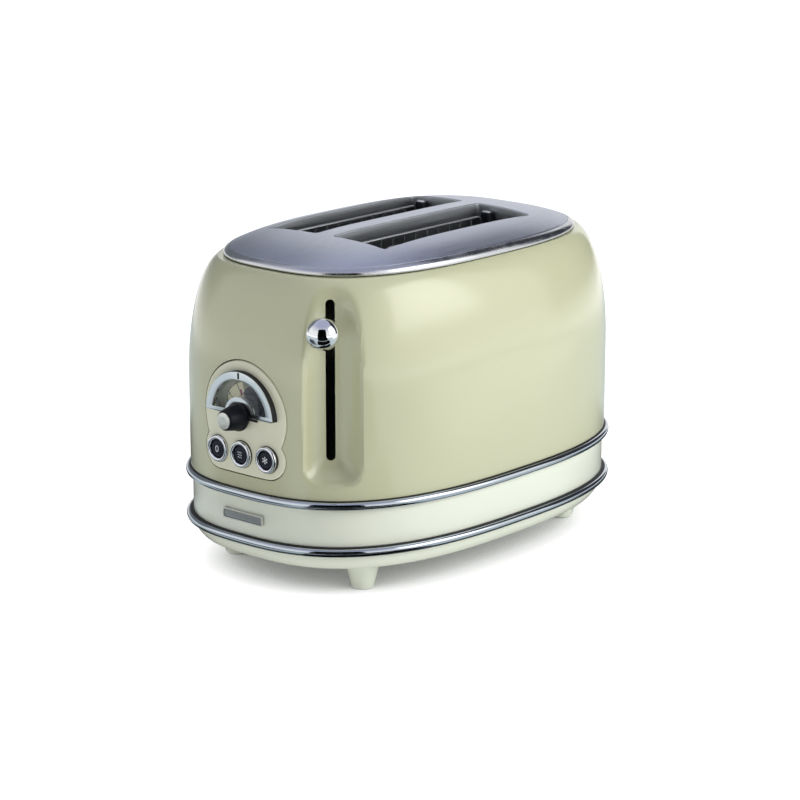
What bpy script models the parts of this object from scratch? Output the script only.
"""Two-slot pop-up toaster with a domed painted shell, chrome trim rings and a rotary browning dial.

Metres, +Z up, feet on z = 0. The control end faces -X, the long sides face -Y (right) and +Y (left).
All pieces hang on one empty at the middle of the housing, which centres the whole toaster on the origin.
"""
import math

import bmesh
import bpy
from mathutils import Matrix

# ---------------------------------------------------------------- driving dimensions
MM = 0.001
GAP = 0.3 * MM                      # clearance between touching pieces
SEGMENTS = 56                       # points round each level outline of the housing

RING_A, RING_B, RING_N = 150 * MM, 100 * MM, 2.68      # trim rings: half sizes and squareness
RING_HALF_HEIGHT = 2.7 * MM
RING_BULGE = 3.6 * MM
RING_DEPTH = 5.6 * MM
UPPER_RING_Z = 59.3 * MM
LOWER_RING_Z = 30.3 * MM

SHELL_A, SHELL_B = 147 * MM, 97 * MM                   # painted shell at its foot
SHELL_BASE = 62.3 * MM
SHELL_TOP = 193.3 * MM
SHELL_WALL = 1.0 * MM
SHELL_LEAN = 0.0223                                    # steady inward lean of the wall
SHOULDER_Z = 120.1 * MM                                # the shoulder's curve starts here
SHOULDER_RISE = 74.2 * MM
SHOULDER_INSET = 20.2 * MM
SHELL_N_BASE, SHELL_N_GAIN = 2.7, 0.3

BAND_A, BAND_B = 146 * MM, 96 * MM
BAND_WALL = 2 * MM
BAND_MIDDLE_Z = 44.6 * MM                              # the badge and the cord gland sit at this height

SKIRT_FLOOR = 17.5 * MM
SKIRT_TOP = 27.3 * MM

PLATE_A, PLATE_B, PLATE_N = 123.5 * MM, 77.1 * MM, 2.85
PLATE_BASE = 193.6 * MM
PLATE_RIM = 196.6 * MM
PLATE_CROWN = 207.9 * MM
PLATE_CROWN_POWER = 4.5
PLATE_SHEET = 0.8 * MM
PLATE_OPENING_A, PLATE_OPENING_B = 119 * MM, 70 * MM

SLOT_CENTRE_X = -2.9 * MM
SLOT_HALF_LENGTH = 69.3 * MM
SLOT_CENTRE_Y = 27.65 * MM
SLOT_HALF_WIDTH = 20.75 * MM
SLOT_FLANGE_FOOT = 189.5 * MM

FOOT_X, FOOT_Y = 98 * MM, 53 * MM
FOOT_HEIGHT = SKIRT_FLOOR - GAP

DIAL_Z = 107.7 * MM
DIAL_R = 27.3 * MM
DIAL_HUB_R = 8.9 * MM
DIAL_FOOT = 0.6 * MM                                   # the half ring ends just above the knob's axis
PANEL_R = 33.7 * MM
PANEL_LOBE_R = 12.6 * MM
PANEL_LOBE_Y = 20.6 * MM
BUTTON_Z = 83.9 * MM
BUTTON_PITCH = 20 * MM
BUTTON_SETBACK = 0.9 * MM                              # the outer buttons follow the curve of the end
KNOB_TIP = 161.8 * MM
KNOB_CAP = 1.2 * MM
BODY_X = (KNOB_TIP + KNOB_CAP - RING_A) / 2            # centres the whole length on the origin

LEVER_X, LEVER_Y = -122 * MM, -49.5 * MM               # middle of the lever slot in plan
LEVER_TURN = math.radians(27.5)                        # the stem leans this far from -X towards -Y
LEVER_Z = 165 * MM
LEVER_SLOT = (84 * MM, 182 * MM)
LEVER_SLOT_WIDTH = 5.4 * MM
LEVER_BALL_R = 9.9 * MM
LEVER_BALL_REACH = 17 * MM
POCKET_X, POCKET_Y, POCKET_R = -135.3 * MM, -62.55 * MM, 18.6 * MM
POCKET_FOOT = 89.2 * MM                                # centre of the pocket's round lower end

WELL_X = (-82 * MM, 76 * MM)                           # inner faces of the chassis plates
CHASSIS_Z = (29.5 * MM, 187 * MM)
CHASSIS_HALF_WIDTH = 62 * MM
SHEET = 1 * MM
CARRIAGE_TRAVEL = 75 * MM
CARRIAGE_LIFT = 11 * MM
BRACKET_X = (-95.0 * MM, -93.4 * MM)
ROD_X = -88.5 * MM
ROD_R = 2.2 * MM
RACK_Z = 139.5 * MM
GUARD_OFFSET = 11 * MM                                 # guard planes either side of a slot's middle
GUARD_TOP = 202 * MM
GUARD_FOOT = 72 * MM
GUARD_SHEET = 1.6 * MM
MAGNET_TOP = 59.0 * MM
BOARD_Z = 31.5 * MM

TRAY_HALF_WIDTH = 50 * MM
TRAY_X = (-78 * MM, 126 * MM)
TRAY_Z = (22 * MM, 26.8 * MM)

END_FACE = (math.pi / 2, 0, -math.pi / 2)              # local X, Y, Z become -Y, +Z, -X


# ---------------------------------------------------------------- scene and materials
def clear_scene():
    for obj in list(bpy.data.objects):
        bpy.data.objects.remove(obj, do_unlink=True)


def new_collection(name):
    collection = bpy.data.collections.new(name)
    bpy.context.scene.collection.children.link(collection)
    return collection


def material(name, colour, roughness, metallic=0.0):
    mat = bpy.data.materials.new(name)
    mat.use_nodes = True
    shader = mat.node_tree.nodes["Principled BSDF"]
    shader.inputs["Base Color"].default_value = (*colour, 1)
    shader.inputs["Roughness"].default_value = roughness
    shader.inputs["Metallic"].default_value = metallic
    mat.diffuse_color = (*colour, 1)
    return mat


clear_scene()
PARTS = new_collection("pop_up_toaster")
CUTTERS = new_collection("cutters")
HOUSING = bpy.data.objects.new("housing_centre", None)
HOUSING.location = (BODY_X, 0, 0)
PARTS.objects.link(HOUSING)

PAINT = material("beige_paint", (0.48, 0.49, 0.32), 0.22)
CREAM = material("cream_plastic", (0.80, 0.80, 0.70), 0.35)
CHROME = material("chrome", (0.82, 0.83, 0.85), 0.08, 1.0)
BRUSHED = material("brushed_steel", (0.50, 0.51, 0.56), 0.34, 1.0)
STEEL = material("galvanised_steel", (0.55, 0.56, 0.57), 0.45, 1.0)
BLACK = material("black_plastic", (0.015, 0.016, 0.02), 0.4)
SILVER = material("satin_silver", (0.78, 0.78, 0.74), 0.3, 1.0)
MICA = material("mica_sheet", (0.55, 0.47, 0.33), 0.5)
BOARD = material("circuit_board", (0.05, 0.22, 0.10), 0.5)
COPPER = material("copper_winding", (0.55, 0.22, 0.08), 0.35, 1.0)
PRINT = material("dial_print", (0.62, 0.60, 0.50), 0.6)
CLEAR = material("clear_window", (0.70, 0.74, 0.72), 0.05)


# ---------------------------------------------------------------- building helpers
def place(obj, mat, parent=HOUSING, smooth=False):
    """A finished piece: link it, give it its material and hang it on its parent."""
    PARTS.objects.link(obj)
    obj.data.materials.append(mat)
    obj.parent = parent
    if smooth:
        obj.data.shade_smooth()
        obj.data.set_sharp_from_angle(angle=math.radians(35))
    return obj


def as_cutter(obj):
    """A hidden helper solid for a Boolean."""
    CUTTERS.objects.link(obj)
    obj.parent = HOUSING
    obj.hide_render = True
    obj.display_type = 'WIRE'
    return obj


def boolean(obj, other, operation='DIFFERENCE'):
    mod = obj.modifiers.new(operation.title(), 'BOOLEAN')
    mod.operation = operation
    mod.solver = 'EXACT'
    mod.object = other
    return obj


def object_from(bm, name, location=(0, 0, 0), rotation=(0, 0, 0)):
    mesh = bpy.data.meshes.new(name)
    bm.normal_update()
    bm.to_mesh(mesh)
    bm.free()
    obj = bpy.data.objects.new(name, mesh)
    obj.location = location
    obj.rotation_euler = rotation
    return obj


def boxes(name, spans, location=(0, 0, 0), rotation=(0, 0, 0)):
    """Boxes from (x0, x1), (y0, y1), (z0, z1) spans."""
    bm = bmesh.new()
    for (x0, x1), (y0, y1), (z0, z1) in spans:
        middle = Matrix.Translation(((x0 + x1) / 2, (y0 + y1) / 2, (z0 + z1) / 2))
        size = Matrix.Diagonal((x1 - x0, y1 - y0, z1 - z0, 1))
        bmesh.ops.create_cube(bm, size=1, matrix=middle @ size)
    return object_from(bm, name, location, rotation)


def cylinder(name, radius, length, location, rotation=(0, 0, 0), steps=24):
    """A cylinder whose axis is local Z, centred on its location."""
    bm = bmesh.new()
    bmesh.ops.create_cone(bm, cap_ends=True, segments=steps, radius1=radius, radius2=radius, depth=length)
    return object_from(bm, name, location, rotation)


def turned(name, profile, location, rotation=(0, 0, 0), steps=24, closed=True):
    """A profile of (radius, height) points turned about local Z, running down its outer side."""
    mesh = bpy.data.meshes.new(name)
    edges = [(i, i + 1) for i in range(len(profile) - 1)]
    if closed:
        edges.append((len(profile) - 1, 0))
    mesh.from_pydata([(r, 0, z) for r, z in profile], edges, [])
    obj = bpy.data.objects.new(name, mesh)
    obj.location = location
    obj.rotation_euler = rotation
    screw = obj.modifiers.new("Screw", 'SCREW')
    screw.steps = screw.render_steps = steps
    screw.use_merge_vertices = True
    screw.merge_threshold = 0.00005
    screw.use_smooth_shade = True
    return obj


def oval(a, b, n, z):
    """A level superellipse outline."""
    points = []
    for i in range(SEGMENTS):
        turn = 2 * math.pi * i / SEGMENTS
        c, s = math.cos(turn), math.sin(turn)
        points.append((a * math.copysign(abs(c) ** (2 / n), c), b * math.copysign(abs(s) ** (2 / n), s), z))
    return points


def loft(name, outlines, hollow=False):
    """Joins level outlines, bottom to top; a hollow one runs up its outer side and down its inner side."""
    bm = bmesh.new()
    rows = [[bm.verts.new(p) for p in outline] for outline in outlines]
    pairs = list(zip(rows, rows[1:]))
    if hollow:
        pairs.append((rows[-1], rows[0]))
    for low, high in pairs:
        for i in range(SEGMENTS):
            j = (i + 1) % SEGMENTS
            bm.faces.new((low[i], low[j], high[j], high[i]))
    if not hollow:
        bm.faces.new(rows[0][::-1])
        bm.faces.new(rows[-1])
    return object_from(bm, name)


def arc(centre, radius, start, end, steps):
    """Points along an arc, angles in degrees."""
    points = []
    for i in range(steps + 1):
        turn = math.radians(start + (end - start) * i / steps)
        points.append((centre[0] + radius * math.cos(turn), centre[1] + radius * math.sin(turn)))
    return points


def outline_solid(name, loops, thickness, location, rotation=(0, 0, 0)):
    """A flat outline, with any windows in it, given a thickness; centred on its location."""
    curve = bpy.data.curves.new(name, 'CURVE')
    curve.dimensions = '2D'
    curve.fill_mode = 'BOTH'
    curve.extrude = thickness / 2
    for loop in loops:
        spline = curve.splines.new('POLY')
        spline.points.add(len(loop) - 1)
        for point, (x, y) in zip(spline.points, loop):
            point.co = (x, y, 0, 1)
        spline.use_cyclic_u = True
    return curve_to_mesh(name, curve, location, rotation)


def curve_to_mesh(name, curve, location=(0, 0, 0), rotation=(0, 0, 0)):
    source = bpy.data.objects.new(name + "_curve", curve)
    CUTTERS.objects.link(source)
    evaluated = source.evaluated_get(bpy.context.evaluated_depsgraph_get())
    mesh = bpy.data.meshes.new_from_object(evaluated)
    bpy.data.objects.remove(source)
    bm = bmesh.new()
    bm.from_mesh(mesh)
    bpy.data.meshes.remove(mesh)
    bmesh.ops.remove_doubles(bm, verts=bm.verts, dist=0.00001)
    bmesh.ops.recalc_face_normals(bm, faces=bm.faces)
    return object_from(bm, name, location, rotation)


# ---------------------------------------------------------------- housing shapes
def shell_inset(z):
    """How far the painted wall stands in from its foot at height z."""
    inset = SHELL_LEAN * max(z - 60 * MM, 0)
    if z > SHOULDER_Z:
        rise = min((z - SHOULDER_Z) / SHOULDER_RISE, 1)
        inset += SHOULDER_INSET * (1 - math.sqrt(1 - rise * rise))
    return inset


def shell_level(z, offset=0.0):
    """The painted wall's outline at height z, moved inwards by offset."""
    inset = shell_inset(z) + offset
    squareness = SHELL_N_BASE + SHELL_N_GAIN * (z - SHELL_BASE) / (SHELL_TOP - SHELL_BASE)
    return oval(SHELL_A - inset, SHELL_B - inset, squareness, z)


SHELL_HEIGHTS = [SHELL_BASE, SHOULDER_Z, 142 * MM, 158 * MM, 170 * MM, 180 * MM, 187.5 * MM, SHELL_TOP]


def shell_solid(name, offset, base, top):
    inner = [z for z in SHELL_HEIGHTS[1:-1] if base < z < top - 2 * MM]
    return loft(name, [shell_level(z, offset) for z in [base, *inner, top]])


def plate_level(share, lift=0.0):
    """The top plate's outline at a share of its half sizes, on its crowned surface."""
    height = PLATE_RIM + (PLATE_CROWN - PLATE_RIM) * (1 - share ** PLATE_CROWN_POWER)
    return oval(PLATE_A * share, PLATE_B * share, PLATE_N, height + lift)


def plate_solid(name, sheet_drop, foot):
    """The crowned plate as a solid down to foot, its faces moved in by sheet_drop."""
    rim_a, rim_b = PLATE_A - sheet_drop, PLATE_B - sheet_drop
    rows = [oval(rim_a, rim_b, PLATE_N, foot), oval(rim_a, rim_b, PLATE_N, PLATE_RIM - 1.4 * MM)]
    rows += [plate_level(share, -sheet_drop) for share in (0.985, 0.93, 0.83, 0.7, 0.54, 0.3)]
    return loft(name, rows)


def pocket_tool(name, radius):
    """A post with a round lower end, which hollows the corner for the lever's knob."""
    profile = [(0, SHELL_TOP + 30 * MM), (radius, SHELL_TOP + 30 * MM)]
    profile += [(x, POCKET_FOOT + y) for x, y in arc((0, 0), radius, 0, -90, 6)[:-1]]
    profile.append((0, POCKET_FOOT - radius))
    tool = turned(name, profile, (POCKET_X, POCKET_Y, 0), steps=36, closed=False)
    return as_cutter(tool)


def panel_outline(grow=0.0):
    """The fascia's outline seen from the control end: a dial circle standing on a row of buttons."""
    dial_y = DIAL_Z - BUTTON_Z
    radius, lobe = PANEL_R + grow, PANEL_LOBE_R + grow
    notch = math.degrees(math.asin(min(1, (dial_y - 9.5 * MM) / PANEL_R)))
    points = arc((0, dial_y), radius, -notch, 180 + notch, 26)
    points += arc((-PANEL_LOBE_Y, 0), lobe, 140, 270, 7)
    points += arc((PANEL_LOBE_Y, 0), lobe, -90, 40, 7)
    return points


def dial_outline(grow=0.0):
    """The dial bezel's outer outline about the knob's axis: half a disc open at the hub."""
    foot = DIAL_FOOT - grow
    radius = DIAL_R + grow
    dip = math.degrees(math.asin(foot / radius))
    hub = DIAL_HUB_R - grow
    hub_dip = math.degrees(math.asin(foot / hub))
    return arc((0, 0), radius, dip, 180 - dip, 24) + arc((0, 0), hub, 180 - hub_dip, hub_dip, 12)


# ---------------------------------------------------------------- housing pieces
def make_outer_shell():
    shell = shell_solid("outer_shell", 0, SHELL_BASE, SHELL_TOP)
    cavity = as_cutter(shell_solid("shell_cavity", SHELL_WALL, SHELL_BASE - 5 * MM, SHELL_TOP - SHELL_WALL))
    boolean(cavity, pocket_tool("pocket_back", POCKET_R + SHELL_WALL))
    boolean(shell, pocket_tool("pocket_front", POCKET_R))
    boolean(shell, cavity)
    opening = [oval(PLATE_OPENING_A, PLATE_OPENING_B, PLATE_N, z)
               for z in (SHELL_TOP - 4 * MM, SHELL_TOP + 4 * MM)]
    boolean(shell, as_cutter(loft("plate_opening", opening)))
    seat = outline_solid("panel_seat", [panel_outline(GAP)], 30 * MM, (-SHELL_A, 0, BUTTON_Z), END_FACE)
    boolean(shell, as_cutter(seat))
    low, high = LEVER_SLOT
    half = LEVER_SLOT_WIDTH / 2
    slot = arc((0, high - half), half, 0, 180, 8) + arc((0, low + half), half, 180, 360, 8)
    turn = (math.pi / 2, 0, -math.pi / 2 + LEVER_TURN)
    boolean(shell, as_cutter(outline_solid("lever_slot", [slot], 24 * MM, (LEVER_X, LEVER_Y, 0), turn)))
    return place(shell, PAINT, smooth=True)


def make_trim_ring(name, z):
    rows = []
    for i in range(5):
        turn = math.radians(-90 + 45 * i)
        inset = RING_BULGE * (1 - math.cos(turn))
        rows.append(oval(RING_A - inset, RING_B - inset, RING_N, z + RING_HALF_HEIGHT * math.sin(turn)))
    for height in (z + RING_HALF_HEIGHT, z - RING_HALF_HEIGHT):
        rows.append(oval(RING_A - RING_DEPTH, RING_B - RING_DEPTH, RING_N, height))
    return place(loft(name, rows, hollow=True), CHROME, smooth=True)


def make_base_band():
    low = LOWER_RING_Z + RING_HALF_HEIGHT + GAP
    high = UPPER_RING_Z - RING_HALF_HEIGHT - GAP
    rows = [oval(BAND_A, BAND_B, RING_N, low), oval(BAND_A, BAND_B, RING_N, high)]
    rows += [oval(BAND_A - BAND_WALL, BAND_B - BAND_WALL, RING_N, z) for z in (high, low)]
    band = loft("base_band", rows, hollow=True)
    hole = cylinder("gland_hole", 6.3 * MM, 20 * MM, (BAND_A, 0, BAND_MIDDLE_Z), (0, math.pi / 2, 0))
    boolean(band, as_cutter(hole))
    return place(band, CREAM, smooth=True)


def skirt_level(z):
    """The base tray's outline: it curves in towards its floor."""
    rise = (z - SKIRT_FLOOR) / (SKIRT_TOP - SKIRT_FLOOR)
    tuck = 6 * MM * (1 - rise) ** 2
    return oval(145.4 * MM - tuck, 95.5 * MM - 0.8 * tuck, RING_N, z)


def make_base_tray():
    heights = (SKIRT_FLOOR, 19.5 * MM, 22.5 * MM, SKIRT_TOP)
    tray = loft("base_tray", [skirt_level(z) for z in heights])
    floor = SKIRT_FLOOR + 2.5 * MM
    inside = [oval(138 * MM, 89.5 * MM, RING_N, floor),
              oval(142.5 * MM, 92.5 * MM, RING_N, SKIRT_TOP + 5 * MM)]
    boolean(tray, as_cutter(loft("tray_inside", inside)))
    rail = CHASSIS_HALF_WIDTH - 4 * MM
    top = CHASSIS_Z[0] - GAP
    spans = [((WELL_X[0] - 4 * MM, WELL_X[1] + 4 * MM), (side - 2 * MM, side + 4 * MM), (floor - MM, top))
             for side in (-rail - 2 * MM, rail)]
    spans += [((-128 * MM, -120 * MM), (y - 4 * MM, y + 4 * MM), (floor - MM, BOARD_Z - GAP))
              for y in (-34 * MM, 34 * MM)]
    boolean(tray, as_cutter(boxes("tray_rails", spans)), 'UNION')
    mouth = ((120 * MM, 160 * MM), (-TRAY_HALF_WIDTH - 0.4 * MM, TRAY_HALF_WIDTH + 0.4 * MM),
             (TRAY_Z[0] - 0.4 * MM, SKIRT_TOP + MM))
    vents = [((x - 2 * MM, x + 2 * MM), (-32 * MM, 32 * MM), (SKIRT_FLOOR - MM, floor + MM))
             for x in (-113 * MM, -103 * MM, 97 * MM, 107 * MM)]
    boolean(tray, as_cutter(boxes("tray_cuts", [mouth, *vents])))
    for x, y in foot_places():
        hole = cylinder("screw_hole", 2.1 * MM, 8 * MM, (x, y, SKIRT_FLOOR), steps=12)
        boolean(tray, as_cutter(hole))
    return place(tray, CREAM, smooth=True)


def foot_places():
    return [(x, y) for x in (-FOOT_X, FOOT_X) for y in (-FOOT_Y, FOOT_Y)]


def make_feet():
    top = FOOT_HEIGHT
    profile = [(2.2 * MM, top), (11.7 * MM, top), (7 * MM, 0.8 * MM), (6.4 * MM, 0), (4.6 * MM, 0),
               (4.6 * MM, 4 * MM), (2.2 * MM, 4 * MM)]
    screw = [(0, 24 * MM), (1.7 * MM, 24 * MM), (1.7 * MM, 3.7 * MM), (3.9 * MM, 3.7 * MM),
             (3.6 * MM, 1.4 * MM), (1.2 * MM, 1.4 * MM), (1.2 * MM, 2.6 * MM), (0, 2.6 * MM)]
    names = ("front_right", "front_left", "rear_right", "rear_left")
    for name, (x, y) in zip(names, foot_places()):
        place(turned("foot_" + name, profile, (x, y, 0), steps=14), CREAM)
        place(turned("base_screw_" + name, screw, (x, y, 0), steps=8, closed=False), STEEL)


def make_top_plate():
    plate = plate_solid("top_plate", 0, PLATE_BASE)
    boolean(plate, as_cutter(plate_solid("plate_cavity", PLATE_SHEET, PLATE_BASE - MM)))
    ends = (SLOT_CENTRE_X - SLOT_HALF_LENGTH, SLOT_CENTRE_X + SLOT_HALF_LENGTH)
    flanges, holes = [], []
    for side in (-SLOT_CENTRE_Y, SLOT_CENTRE_Y):
        across = (side - SLOT_HALF_WIDTH, side + SLOT_HALF_WIDTH)
        flanges.append(((ends[0] - PLATE_SHEET, ends[1] + PLATE_SHEET),
                        (across[0] - PLATE_SHEET, across[1] + PLATE_SHEET),
                        (SLOT_FLANGE_FOOT, PLATE_CROWN + MM)))
        holes.append((ends, across, (SLOT_FLANGE_FOOT - MM, PLATE_CROWN + 2 * MM)))
    walls = as_cutter(boxes("slot_flanges", flanges))
    reach = as_cutter(plate_solid("flange_reach", 0.2 * MM, SLOT_FLANGE_FOOT - MM))
    boolean(walls, reach, 'INTERSECT')
    boolean(plate, walls, 'UNION')
    boolean(plate, as_cutter(boxes("bread_slots", holes)))
    return place(plate, BRUSHED, smooth=True)


def make_cord_gland():
    profile = [(3.2 * MM, 3.4 * MM), (7.2 * MM, 3.4 * MM), (8.6 * MM, 2.2 * MM), (8.6 * MM, 0.5 * MM),
               (5.9 * MM, 0.5 * MM), (5.9 * MM, -14 * MM), (3.2 * MM, -14 * MM)]
    gland = turned("cord_gland", profile, (BAND_A, 0, BAND_MIDDLE_Z), (0, math.pi / 2, 0), steps=20)
    return place(gland, BLACK)


# ---------------------------------------------------------------- control end
def make_control_panel():
    panel = shell_solid("control_panel", -0.6 * MM, SHELL_BASE, 160 * MM)
    depth = 30 * MM
    prism = outline_solid("panel_prism", [panel_outline()], 16 * MM, (-148 * MM, 0, BUTTON_Z), END_FACE)
    boolean(panel, as_cutter(prism), 'INTERSECT')
    dial = outline_solid("dial_seat", [dial_seat_outline()], depth, (-SHELL_A, 0, DIAL_Z), END_FACE)
    boolean(panel, as_cutter(dial))
    for y in button_places():
        hole = cylinder("button_hole", 8.6 * MM, depth, (-SHELL_A, y, BUTTON_Z), END_FACE)
        boolean(panel, as_cutter(hole))
    return place(panel, CREAM, smooth=True)


def dial_seat_outline():
    """The hole for the dial: the bezel's outer outline with the hub filled by the hole too."""
    foot = DIAL_FOOT - GAP
    radius = DIAL_R + GAP
    dip = math.degrees(math.asin(foot / radius))
    hub = 4 * MM
    return arc((0, 0), radius, dip, 180 - dip, 24) + arc((0, foot), hub, 180, 360, 8)


def button_places():
    return [BUTTON_PITCH, 0, -BUTTON_PITCH]


def make_dial():
    window = arc((0, 0), 22.6 * MM, 8.1, 171.9, 16) + arc((0, 0), 11.8 * MM, 164.3, 15.7, 12)
    front, back = -149.2 * MM, -141.4 * MM
    bezel = outline_solid("dial_bezel", [dial_outline(), window], back - front,
                          ((front + back) / 2, 0, DIAL_Z), END_FACE)
    place(bezel, CHROME)
    pane = arc((0, 0), 22.2 * MM, 9.4, 170.6, 16) + arc((0, 0), 12.2 * MM, 162.8, 17.2, 12)
    place(outline_solid("dial_window", [pane], MM, (-147 * MM, 0, DIAL_Z), END_FACE), CLEAR)
    scale = arc((0, 0), 26.9 * MM, 1.4, 178.6, 20) + arc((0, 0), 4 * MM, 160, 20, 6)
    place(outline_solid("dial_scale", [scale], 0.8 * MM, (-140.6 * MM, 0, DIAL_Z), END_FACE), PRINT)


def make_browning_knob():
    axis = bpy.data.objects.new("browning_axis", None)
    axis.location = (-SHELL_A, 0, DIAL_Z)
    axis.rotation_euler = END_FACE
    axis.parent = HOUSING
    PARTS.objects.link(axis)
    base, tip = 0.4 * MM, KNOB_TIP - SHELL_A
    profile = [(0, tip), (5.9 * MM, tip), (6.3 * MM, tip - 0.7 * MM), (8.1 * MM, 4.6 * MM),
               (8.7 * MM, 4.2 * MM), (8.7 * MM, 2.5 * MM), (7.4 * MM, 2.5 * MM), (7.4 * MM, base), (0, base)]
    knob = turned("browning_knob", profile, (0, 0, 0), steps=28, closed=False)
    pointer = boxes("knob_pointer", [((7 * MM, 16.5 * MM), (-0.8 * MM, 0.8 * MM), (2.6 * MM, 3.8 * MM))],
                    (-SHELL_A, 0, DIAL_Z), END_FACE)
    boolean(knob, as_cutter(pointer), 'UNION')
    place(knob, BLACK, axis)
    cap = [(0, KNOB_CAP), (4.8 * MM, KNOB_CAP), (5.2 * MM, GAP), (0, GAP)]
    place(turned("knob_cap", cap, (0, 0, tip), steps=24, closed=False), SILVER, axis)
    place(cylinder("knob_shaft", 3 * MM, 8.6 * MM, (0, 0, base - 4.7 * MM), steps=16), STEEL, axis)
    pot = cylinder("browning_control", 8 * MM, 7.6 * MM, (-133.4 * MM, 0, DIAL_Z), END_FACE)
    place(pot, BLACK)


def make_buttons():
    ring = [(5.8 * MM, 1.6 * MM), (7.2 * MM, 2.4 * MM), (8.3 * MM, 1.2 * MM), (8.3 * MM, -5.6 * MM),
            (5.8 * MM, -5.6 * MM)]
    cap = [(0, 1.9 * MM), (4.4 * MM, 1.7 * MM), (5.4 * MM, 0.9 * MM), (5.4 * MM, -4 * MM), (3 * MM, -4 * MM),
           (3 * MM, -7.7 * MM), (0, -7.7 * MM)]
    for name, y in zip(("stop", "reheat", "defrost"), button_places()):
        setback = BUTTON_SETBACK if y else 0
        spot = (-SHELL_A + setback, y, BUTTON_Z)
        place(turned(name + "_bezel", ring, spot, END_FACE, steps=20), CHROME)
        place(turned(name + "_button", cap, spot, END_FACE, steps=14, closed=False), BLACK)


def make_control_board():
    board = boxes("control_board", [((-129 * MM, -127.4 * MM), (-33 * MM, 40 * MM), (66 * MM, 128 * MM))])
    place(board, BOARD)
    block = ((-133.4 * MM, -129.3 * MM), (-28 * MM, 28 * MM), (79 * MM, 89 * MM))
    switches = boxes("button_switches", [block])
    plunger_x, plunger_z = (-135.4 * MM, -132 * MM), (82 * MM, 86 * MM)
    plungers = boxes("switch_plungers", [(plunger_x, (y - 2 * MM, y + 2 * MM), plunger_z)
                                         for y in button_places()])
    boolean(switches, as_cutter(plungers), 'UNION')
    place(switches, BLACK)


def make_badge():
    half_width, half_height, corner = 16.5 * MM, 3.25 * MM, 1.2 * MM
    loop = []
    for sx, sy, start in ((1, 1, 0), (-1, 1, 90), (-1, -1, 180), (1, -1, 270)):
        centre = (sx * (half_width - corner), sy * (half_height - corner))
        loop += arc(centre, corner, start, start + 90, 3)
    spot = (-BAND_A - 0.9 * MM, 0, BAND_MIDDLE_Z)
    place(outline_solid("badge_plate", [loop], 1.2 * MM, spot, END_FACE), SILVER)


# ---------------------------------------------------------------- toasting chassis
def make_chassis():
    low, high = CHASSIS_Z
    width = (-CHASSIS_HALF_WIDTH, CHASSIS_HALF_WIDTH)
    rack_slots = [((-100 * MM, 100 * MM), (side - 5.5 * MM, side + 5.5 * MM),
                   (RACK_Z - CARRIAGE_TRAVEL - 2 * MM, RACK_Z + CARRIAGE_LIFT + 8 * MM))
                  for side in (-SLOT_CENTRE_Y, SLOT_CENTRE_Y)]
    front = boxes("chassis_front_plate", [((WELL_X[0] - SHEET, WELL_X[0]), width, (low, high))])
    lip = boxes("rod_lip", [((ROD_X - 5 * MM, WELL_X[0] - 0.3 * MM), (-8 * MM, 8 * MM),
                             (high - 2 * MM, high))])
    boolean(front, as_cutter(lip), 'UNION')
    boolean(front, as_cutter(boxes("front_rack_slots", rack_slots)))
    boolean(front, as_cutter(cylinder("rod_hole", ROD_R + GAP, 10 * MM, (ROD_X, 0, high), steps=16)))
    place(front, STEEL)
    rear = boxes("chassis_rear_plate", [((WELL_X[1], WELL_X[1] + SHEET), width, (low, high))])
    boolean(rear, as_cutter(boxes("rear_rack_slots", rack_slots)))
    place(rear, STEEL)
    inside = (WELL_X[0] + GAP, WELL_X[1] - GAP)
    for name, side in (("right", -1), ("left", 1)):
        face = side * (CHASSIS_HALF_WIDTH - 4 * MM)
        place(boxes("heat_shield_" + name, [(inside, (face - SHEET / 2, face + SHEET / 2),
                                             (low + MM, high))]), STEEL)
    place(cylinder("guide_rod", ROD_R, 156 * MM, (ROD_X, 0, BOARD_Z + 2 * MM + 78 * MM), steps=14), STEEL)


def make_elements():
    spans = {"element_centre": 0, "element_left": 52 * MM, "element_right": -52 * MM}
    for name, y in spans.items():
        half = 1.0 * MM if y == 0 else 0.7 * MM
        place(boxes(name, [((WELL_X[0] + 0.5 * MM, WELL_X[1] - 0.5 * MM), (y - half, y + half),
                            (62 * MM, 176 * MM))]), MICA)


def make_bread_guards():
    """Four wire gates; each pair closes on the slice as the carriage goes down."""
    left, right = -60 * MM, 60 * MM
    bars = 7
    bar = 2.2 * MM
    height = GUARD_TOP - GUARD_FOOT
    loops = [[(left, 0), (right, 0), (right, height), (left, height)]]
    pitch = (right - left - bar) / bars
    for i in range(bars):
        x0 = left + bar + i * pitch
        x1 = x0 + pitch - bar
        loops.append([(x0, bar), (x1, bar), (x1, height - bar), (x0, height - bar)])
    for side_name, side in (("right", -1), ("left", 1)):
        for guard_name, offset in (("inner", -GUARD_OFFSET), ("outer", GUARD_OFFSET)):
            y = side * (SLOT_CENTRE_Y + offset)
            name = "bread_guard_" + side_name + "_" + guard_name
            spot = (SLOT_CENTRE_X + 1.4 * MM, y, GUARD_FOOT)
            place(outline_solid(name, loops, GUARD_SHEET, spot, (math.pi / 2, 0, 0)), STEEL)


def make_guard_guides():
    """Black stops at the rear end of each slot, one tapered tooth behind each guard."""
    foot, shelf, top = -5 * MM, -2 * MM, 8 * MM
    loop = [(-17 * MM, foot), (17 * MM, foot)]
    for middle in (GUARD_OFFSET, -GUARD_OFFSET):
        loop += [(middle + 5 * MM, shelf), (middle + 3.6 * MM, top), (middle - 3.6 * MM, top),
                 (middle - 5 * MM, shelf)]
    for name, side in (("right", -1), ("left", 1)):
        spot = (62.9 * MM, side * SLOT_CENTRE_Y, 196 * MM)
        guide = outline_solid("guard_guide_" + name, [loop], 4.6 * MM, spot, (math.pi / 2, 0, math.pi / 2))
        place(guide, BLACK)


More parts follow.
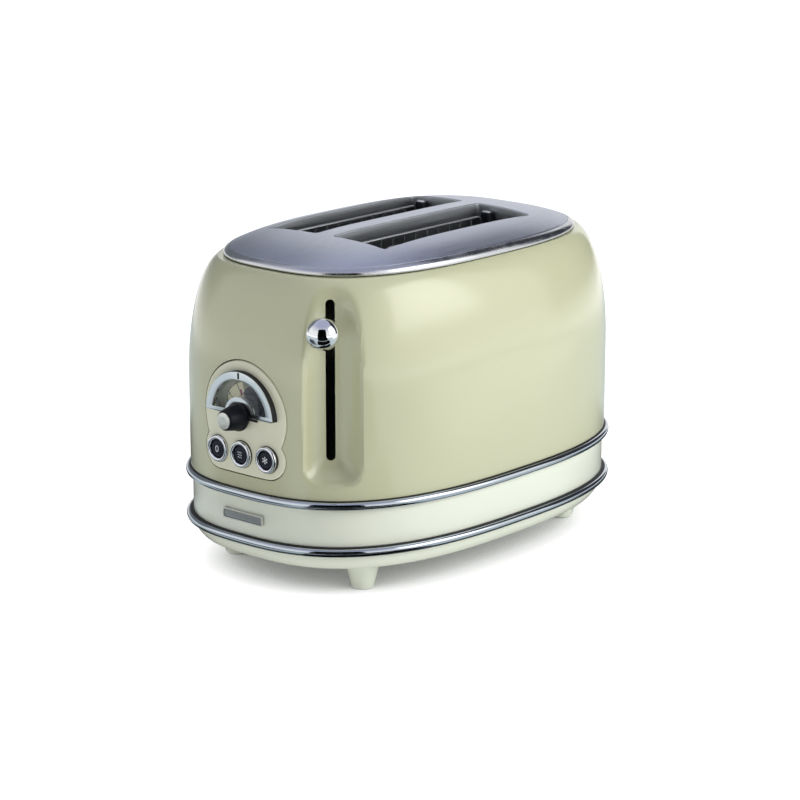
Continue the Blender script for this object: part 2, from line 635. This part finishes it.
# ---------------------------------------------------------------- carriage and latch
def make_carriage():
    bracket_foot = RACK_Z - 2.7 * MM
    bracket = boxes("carriage_bracket", [(BRACKET_X, (-41 * MM, 36 * MM), (bracket_foot, LEVER_Z + 6 * MM))])
    notches = [((-100 * MM, -90 * MM), (y0, y1), (bracket_foot + 9 * MM, LEVER_Z - 6 * MM))
               for y0, y1 in ((-24 * MM, -9 * MM), (9 * MM, 24 * MM))]
    boolean(bracket, as_cutter(boxes("bracket_windows", notches)))
    place(bracket, STEEL)
    bush = [(ROD_R + GAP, 9 * MM), (4.5 * MM, 9 * MM), (4.5 * MM, -9 * MM), (ROD_R + GAP, -9 * MM)]
    place(turned("carriage_bush", bush, (ROD_X, 0, LEVER_Z - 6 * MM), steps=16), BLACK)
    teeth = 6
    length = WELL_X[1] + 6 * MM - BRACKET_X[1] - GAP
    loop = [(0, 0), (length, 0), (length, 3 * MM)]
    for i in reversed(range(teeth)):
        x = 20 * MM + i * 24 * MM
        loop += [(x + 10 * MM, 3 * MM), (x + 8 * MM, 5.5 * MM), (x + 2 * MM, 5.5 * MM), (x, 3 * MM)]
    loop.append((0, 3 * MM))
    for name, side in (("right", -1), ("left", 1)):
        spot = (BRACKET_X[1] + GAP, side * SLOT_CENTRE_Y, RACK_Z)
        place(outline_solid("bread_rack_" + name, [loop], 8 * MM, spot, (math.pi / 2, 0, 0)), STEEL)
    armature = MAGNET_TOP + 0.5 * MM + CARRIAGE_TRAVEL
    place(boxes("armature_plate", [((-107 * MM, BRACKET_X[1]), (-11 * MM, 11 * MM),
                                    (armature, armature + 2 * MM))]), STEEL)


def make_lever():
    turn = (0, 0, LEVER_TURN)
    spot = (LEVER_X, LEVER_Y, LEVER_Z)
    outer = -(LEVER_BALL_REACH - LEVER_BALL_R - 1.2 * MM)
    section = ((-1.5 * MM, 1.5 * MM), (-2.5 * MM, 2.5 * MM))
    arm = boxes("lever_arm", [((outer, 29.2 * MM), *section)], spot, turn)
    place(arm, STEEL)
    bm = bmesh.new()
    bmesh.ops.create_uvsphere(bm, u_segments=18, v_segments=10, radius=LEVER_BALL_R)
    ball_spot = (LEVER_X - LEVER_BALL_REACH * math.cos(LEVER_TURN),
                 LEVER_Y - LEVER_BALL_REACH * math.sin(LEVER_TURN), LEVER_Z)
    ball = object_from(bm, "lever_knob", ball_spot, turn)
    mouth = 6 * MM
    socket_spot = (ball_spot[0] + mouth * math.cos(LEVER_TURN), ball_spot[1] + mouth * math.sin(LEVER_TURN),
                   LEVER_Z)
    socket = boxes("knob_socket", [((0, 12 * MM), (-1.8 * MM, 1.8 * MM), (-2.8 * MM, 2.8 * MM))],
                   socket_spot, turn)
    boolean(ball, as_cutter(socket))
    place(ball, CHROME, smooth=True)


def make_lift_spring():
    turns, points_per_turn, coil_r, wire_r = 10, 7, 3.85 * MM, 0.45 * MM
    foot, top = BOARD_Z + 2.6 * MM, LEVER_Z - 15.6 * MM
    curve = bpy.data.curves.new("lift_spring", 'CURVE')
    curve.dimensions = '3D'
    curve.bevel_depth = wire_r
    curve.bevel_resolution = 1
    curve.use_fill_caps = True
    spline = curve.splines.new('POLY')
    count = turns * points_per_turn + 1
    spline.points.add(count - 1)
    for i, point in enumerate(spline.points):
        turn = 2 * math.pi * i / points_per_turn
        height = foot + (top - foot) * i / (count - 1)
        point.co = (coil_r * math.cos(turn), coil_r * math.sin(turn), height, 1)
    place(curve_to_mesh("lift_spring", curve, (ROD_X, 0, 0)), STEEL)


def make_latch_magnet():
    board = boxes("power_board", [((-131 * MM, -84 * MM), (-45 * MM, 45 * MM),
                                   (BOARD_Z, BOARD_Z + 1.6 * MM))])
    place(board, BOARD)
    base = BOARD_Z + 1.9 * MM
    core_x = (-107 * MM, -95 * MM)
    core = boxes("latch_magnet_core", [(core_x, (-11 * MM, 11 * MM), (base, MAGNET_TOP))])
    slots = [((-110 * MM, -90 * MM), span, (base + 5 * MM, MAGNET_TOP + MM))
             for span in ((-7 * MM, -3.2 * MM), (3.2 * MM, 7 * MM))]
    boolean(core, as_cutter(boxes("core_slots", slots)))
    place(core, STEEL)
    coil = boxes("latch_magnet_coil", [((core_x[0] - 1.4 * MM, core_x[1] + 1.4 * MM), (-6.7 * MM, 6.7 * MM),
                                        (base + 5.3 * MM, MAGNET_TOP - 3 * MM))])
    bore = boxes("coil_bore", [((core_x[0] - GAP, core_x[1] + GAP), (-3.5 * MM, 3.5 * MM),
                                (base, MAGNET_TOP + MM))])
    boolean(coil, as_cutter(bore))
    place(coil, COPPER)
    block = boxes("terminal_block", [((WELL_X[1] + SHEET + GAP, 92 * MM), (-12 * MM, 12 * MM),
                                      (38 * MM, 52 * MM))])
    place(block, CREAM)


# ---------------------------------------------------------------- crumb tray
def make_crumb_tray():
    x0, x1 = TRAY_X
    low, high = TRAY_Z
    tray = boxes("crumb_tray", [(TRAY_X, (-TRAY_HALF_WIDTH, TRAY_HALF_WIDTH), TRAY_Z)])
    inside = ((x0 + SHEET, x1 - SHEET), (-TRAY_HALF_WIDTH + SHEET, TRAY_HALF_WIDTH - SHEET),
              (low + SHEET, high + MM))
    boolean(tray, as_cutter(boxes("tray_hollow", [inside])))
    place(tray, STEEL)
    handle = loft("crumb_tray_handle", [skirt_level(z) for z in (SKIRT_FLOOR, 20 * MM, 24 * MM, SKIRT_TOP)])
    front = boxes("handle_block", [((x1 + GAP, 160 * MM), (-TRAY_HALF_WIDTH, TRAY_HALF_WIDTH), TRAY_Z)])
    boolean(handle, as_cutter(front), 'INTERSECT')
    place(handle, CREAM, smooth=True)


make_outer_shell()
make_trim_ring("upper_trim_ring", UPPER_RING_Z)
make_trim_ring("lower_trim_ring", LOWER_RING_Z)
make_base_band()
make_base_tray()
make_feet()
make_top_plate()
make_cord_gland()
make_control_panel()
make_dial()
make_browning_knob()
make_buttons()
make_control_board()
make_badge()
make_chassis()
make_elements()
make_bread_guards()
make_guard_guides()
make_carriage()
make_lever()
make_lift_spring()
make_latch_magnet()
make_crumb_tray()
